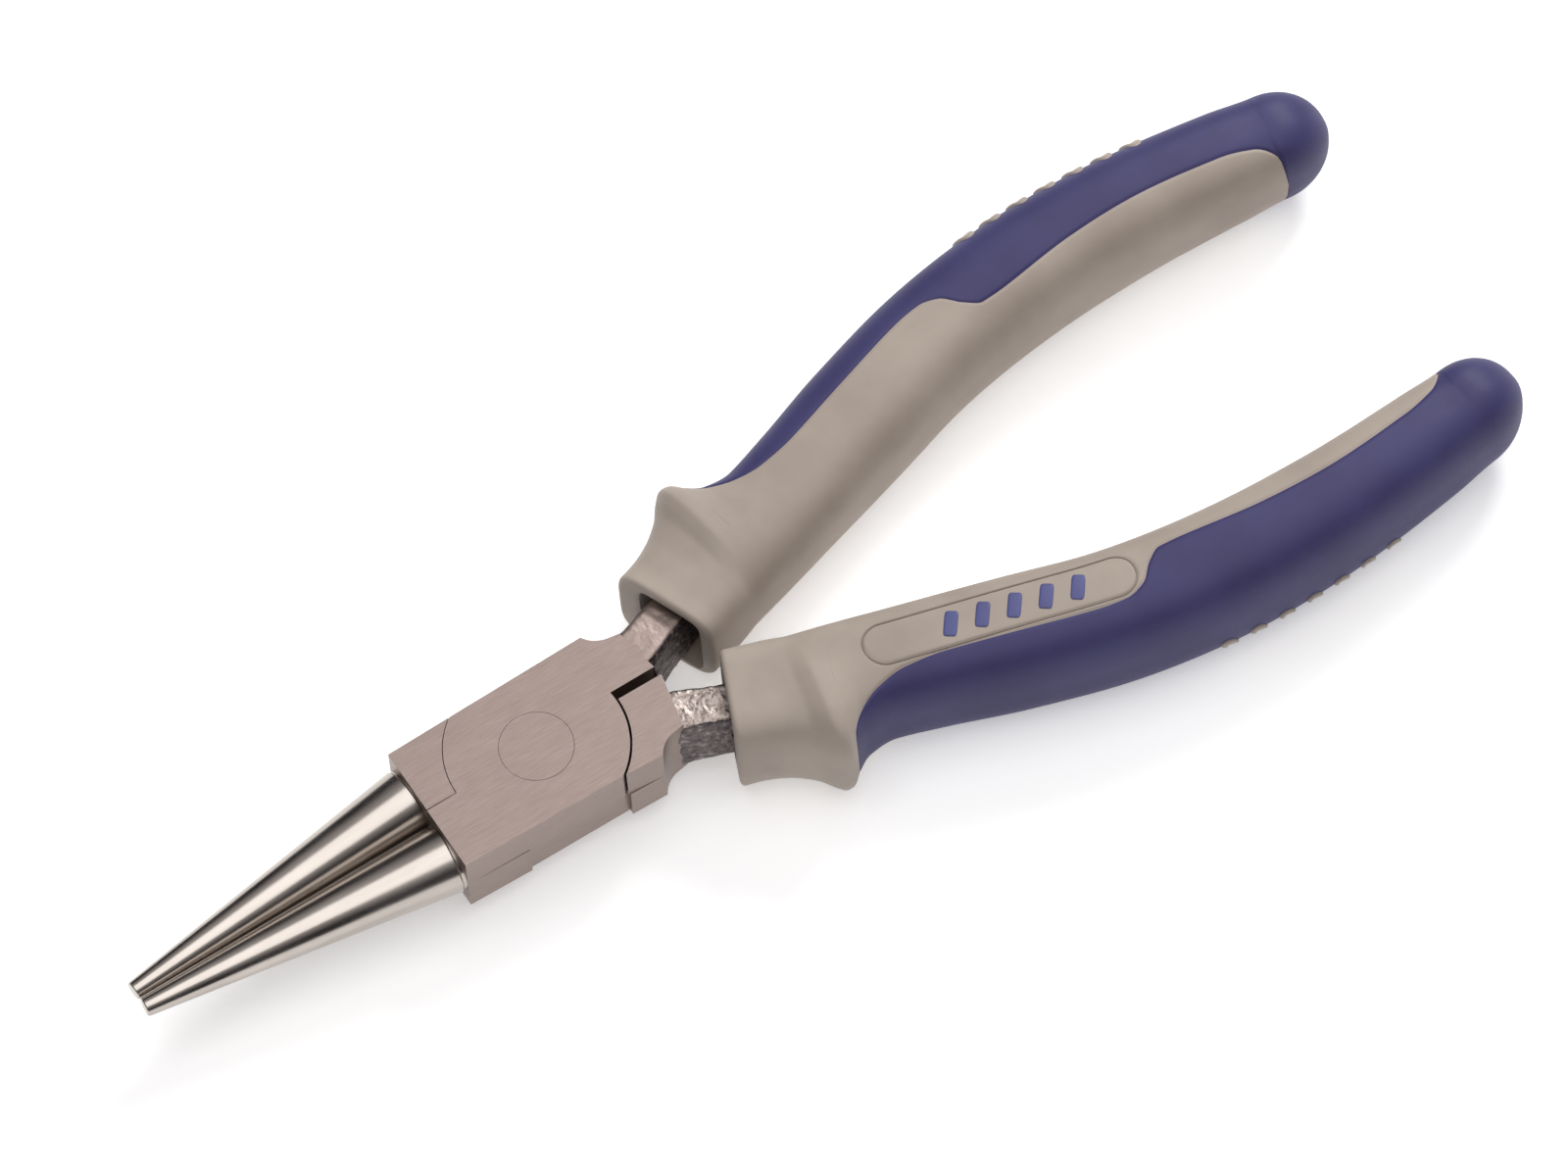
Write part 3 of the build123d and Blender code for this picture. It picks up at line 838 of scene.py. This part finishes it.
def grey_mesh():
    """Grey grip: pocket, front face and collar, then the inner side up to the blue end."""
    rows = front_rows(GREY_COUNT)
    blue_starts, blue_settles, end = BOUNDARY[0][0], BOUNDARY[3][0], BOUNDARY[-1][0] - 0.01
    stations = spaced(GRIP_FRONT + FRONT_ROUNDING + GRIP_STEP, blue_starts, GRIP_STEP)
    stations += spaced(blue_starts + FINE_STEP, blue_settles, FINE_STEP)
    stations += spaced(blue_settles + GRIP_STEP, end, GRIP_STEP)
    for s in stations:
        edge = boundary_angle(s)
        rows.append(skin_row(s, edge, 2 * pi - edge, GREY_COUNT, panel=True))
    return cleaned(mesh_from("grey", rows))


def blue_mesh():
    """Blue overmould: the outer side from the guard on, and the whole end."""
    stations = spaced(BOUNDARY[0][0] + 0.02, BOUNDARY[-1][0] - 0.01, BLUE_STEP)
    stations += spaced(GRIP_END - 0.2, GRIP_END + GRIP_TIP * 0.7, 0.3)
    rows = []
    for s in stations:
        edge = boundary_angle(s)
        rows.append(skin_row(s, -edge, edge, BLUE_COUNT))
    for turn in spaced(radians(47.5), radians(89.5), radians(3.0)):
        rows.append(skin_row(GRIP_END + GRIP_TIP * sin(turn), -pi, pi, BLUE_COUNT))
    return cleaned(mesh_from("blue", rows))


def stadium_path(radius):
    """Points round the label panel as (station, outwards of the panel's middle)."""
    start, end = PANEL_SPAN[0] + PANEL_HALF_WIDTH, PANEL_SPAN[1] - PANEL_HALF_WIDTH
    along = spaced(start, end, 0.5)
    turns = [radians(angle) for angle in range(-85, 90, 5)]
    path = [(s, radius) for s in along]
    path += [(end + radius * cos(turn), radius * sin(turn)) for turn in reversed(turns)]
    path += [(s, -radius) for s in reversed(along)]
    path += [(start - radius * cos(turn), radius * sin(turn)) for turn in turns]
    return path


def panel_ribbon():
    """Painted shade in the panel's groove, as a narrow closed strip with its root inside the grip."""
    point = top_point(0.0)
    inner, outer = (stadium_path(PANEL_HALF_WIDTH + side * PANEL_LINE / 2) for side in (-1, 1))
    root, face = -0.1, 0.012
    rows = []
    for inside, outside in zip(inner, outer):
        corners = ((inside, root), (inside, face), (outside, face), (outside, root))
        rows.append([point(*at, height) for at, height in corners])
    return shaded(cleaned(mesh_from("ribbon", rows + rows[:1], closed_rows=True)), sharp=40)


def raised_mark(point_at, size, rise, squareness):
    """Slanted patch with rounded edges. point_at(u, v, height) is on the grip, u along and v across it."""
    width, length = size
    rows = []
    for inset, height in ((0.0, -MARK_ROOT), (0.0, rise * 0.45), (0.08, rise * 0.85), (0.22, rise)):
        row = []
        for k in range(MARK_COUNT):
            angle = 2 * pi * k / MARK_COUNT
            a, b = rounded_box_point(angle, width / 2 - inset, length / 2 - inset, squareness)
            u = a * cos(MARK_SLANT) - b * sin(MARK_SLANT)
            v = a * sin(MARK_SLANT) + b * cos(MARK_SLANT)
            row.append(point_at(u, v, height))
        rows.append(row)
    return shaded(cleaned(mesh_from("mark", rows, closed_rows=True, caps=(False, True))), sharp=60)


def top_point(station):
    """Maps a mark's own coordinates onto the top of the grip."""
    def point(u, v, height):
        s, outward = station + u, PANEL_OFFSET + v
        out, inward, half, square = grip_size(s)
        share = abs(outward - (out - inward) / 2) / ((out + inward) / 2)
        surface = half * (1 - share**square) ** (1 / square)
        return on_handle(s, outward, surface + height)
    return point


def back_point(station):
    """Maps a pad's own coordinates onto the outer back of the grip."""
    def point(u, v, height):
        s, up = station + u, PAD_HEIGHT + v
        out, inward, half, square = grip_size(s)
        share = min(abs(up) / half, 0.99)
        middle = (out - inward) / 2
        surface = middle + (out - middle) * (1 - share**square) ** (1 / square)
        return on_handle(s, surface + height, up)
    return point


def make_grip(side, body):
    """The four mouldings of one grip."""
    # the ribbon's darker grey is painted shade in the panel's groove
    grey = [numbered(shaded(grey_mesh(), sharp=50), 0), numbered(panel_ribbon(), 1)]
    place(f"{side}_grey_grip", grey, side, body, [f"{side}_grip"], [GREY, GROOVE_SHADE])
    blue = [shaded(blue_mesh(), sharp=50)]
    place(f"{side}_blue_skin", blue, side, body, [f"{side}_overmould"], [BLUE])
    bars = [raised_mark(top_point(s), BAR_SIZE, BAR_RISE, BAR_SQUARENESS) for s in BAR_STATIONS]
    place(f"{side}_bars", bars, side, body, [f"{side}_label_bars"], [BAR_BLUE])
    pads = [raised_mark(back_point(s), PAD_SIZE, PAD_RISE, PAD_SQUARENESS) for s in PAD_STATIONS]
    place(f"{side}_pads", pads, side, body, [f"{side}_back_pads"], [GREY])


# ---- surroundings ------------------------------------------------------------------------------------------
FLOOR_REACH = 700.0           # half the table's size, mm
FLOOR_GAP = 0.2


def make_floor():
    """Pale table just under the grips, which gives off a little light of its own."""
    height = CAD_BOX[0].z / MM - FLOOR_GAP
    rows = [[(x, y, height) for y in (-FLOOR_REACH, 0, FLOOR_REACH)] for x in (-FLOOR_REACH, 0, FLOOR_REACH)]
    mesh = mesh_from("floor", rows)
    mesh.transform(Matrix.Scale(MM, 4))
    look = Look("pale_light_table", Roughness=0.9, Emission_Color=(1, 1, 1, 1), Emission_Strength=0.36)
    look.colour(look.grain(40, detail=2), [(0.4, (0.90, 0.90, 0.90)), (0.6, (0.93, 0.93, 0.93))])
    look.bump((look.grain(0.8, detail=2), 0.004))
    mesh.materials.append(look.material)
    shape_object(mesh)


def make_light(name, toward, distance, size, power):
    """White softbox that faces the camera's target from a direction; distance and size in metres."""
    lamp = bpy.data.lights.new(name, "AREA")
    lamp.shape = "RECTANGLE"
    lamp.size, lamp.size_y = size
    lamp.energy = power
    made = bpy.data.objects.new(name, lamp)
    bpy.context.scene.collection.objects.link(made)
    direction = Vector(toward).normalized()
    made.location = TARGET + direction * distance
    made.rotation_euler = direction.to_track_quat("Z", "Y").to_euler()


def make_world():
    """Dark walls, which give the polished steel its dark bands, paler end walls and a pale ceiling."""
    world = bpy.data.worlds.new("studio")
    world.use_nodes = True
    nodes, links = world.node_tree.nodes, world.node_tree.links
    direction = nodes.new("ShaderNodeSeparateXYZ")
    links.new(nodes.new("ShaderNodeTexCoord").outputs["Generated"], direction.inputs["Vector"])
    ramp = nodes.new("ShaderNodeValToRGB")
    links.new(direction.outputs["Z"], ramp.inputs["Fac"])
    walls, ceiling = ramp.color_ramp.elements
    walls.position, walls.color = 0.42, (0.03, 0.028, 0.032, 1)
    ceiling.position, ceiling.color = 0.90, (0.50, 0.48, 0.48, 1)
    along = nodes.new("ShaderNodeMath")
    along.operation = "ABSOLUTE"
    links.new(direction.outputs["X"], along.inputs[0])
    ends = nodes.new("ShaderNodeMapRange")
    links.new(along.outputs["Value"], ends.inputs["Value"])
    for socket, value in {"From Min": 0.35, "From Max": 0.85, "To Min": 0.0, "To Max": 0.24}.items():
        ends.inputs[socket].default_value = value
    total = nodes.new("ShaderNodeVectorMath")
    links.new(ramp.outputs["Color"], total.inputs[0])
    links.new(ends.outputs["Result"], total.inputs[1])
    links.new(total.outputs["Vector"], nodes["Background"].inputs["Color"])
    bpy.context.scene.world = world


def make_camera():
    """Long lens on the target, turned about Z from +Y, raised, and rolled about its own axis."""
    across = Vector((-cos(CAMERA_TURN), sin(CAMERA_TURN), 0))
    level = Vector((sin(CAMERA_TURN), cos(CAMERA_TURN), 0))
    back = level * cos(CAMERA_RISE) + Vector((0, 0, sin(CAMERA_RISE)))
    up = back.cross(across)
    right = across * cos(CAMERA_ROLL) - up * sin(CAMERA_ROLL)
    up = across * sin(CAMERA_ROLL) + up * cos(CAMERA_ROLL)
    data = bpy.data.cameras.new("camera")
    data.lens = CAMERA_LENS
    data.sensor_width = 36
    data.clip_start = 0.1
    data.clip_end = 20
    camera = bpy.data.objects.new("camera", data)
    bpy.context.scene.collection.objects.link(camera)
    rotation = Matrix((right, up, back)).transposed().to_4x4()
    camera.matrix_world = Matrix.Translation(TARGET + back * CAMERA_DISTANCE) @ rotation
    bpy.context.scene.camera = camera


bpy.context.scene.view_settings.view_transform = "Standard"
make_camera()
make_world()
make_floor()
make_light("overhead", (0.0, 0.12, 1.0), 0.6, (0.5, 0.62), 1.5)
make_light("key", (-0.75, -0.55, 0.75), 1.1, (0.45, 0.3), 7.5)
make_half("left", "left_half")
make_half("right", "right_half")
make_rivet()
make_grip("left", "left_half")
make_grip("right", "right_half")
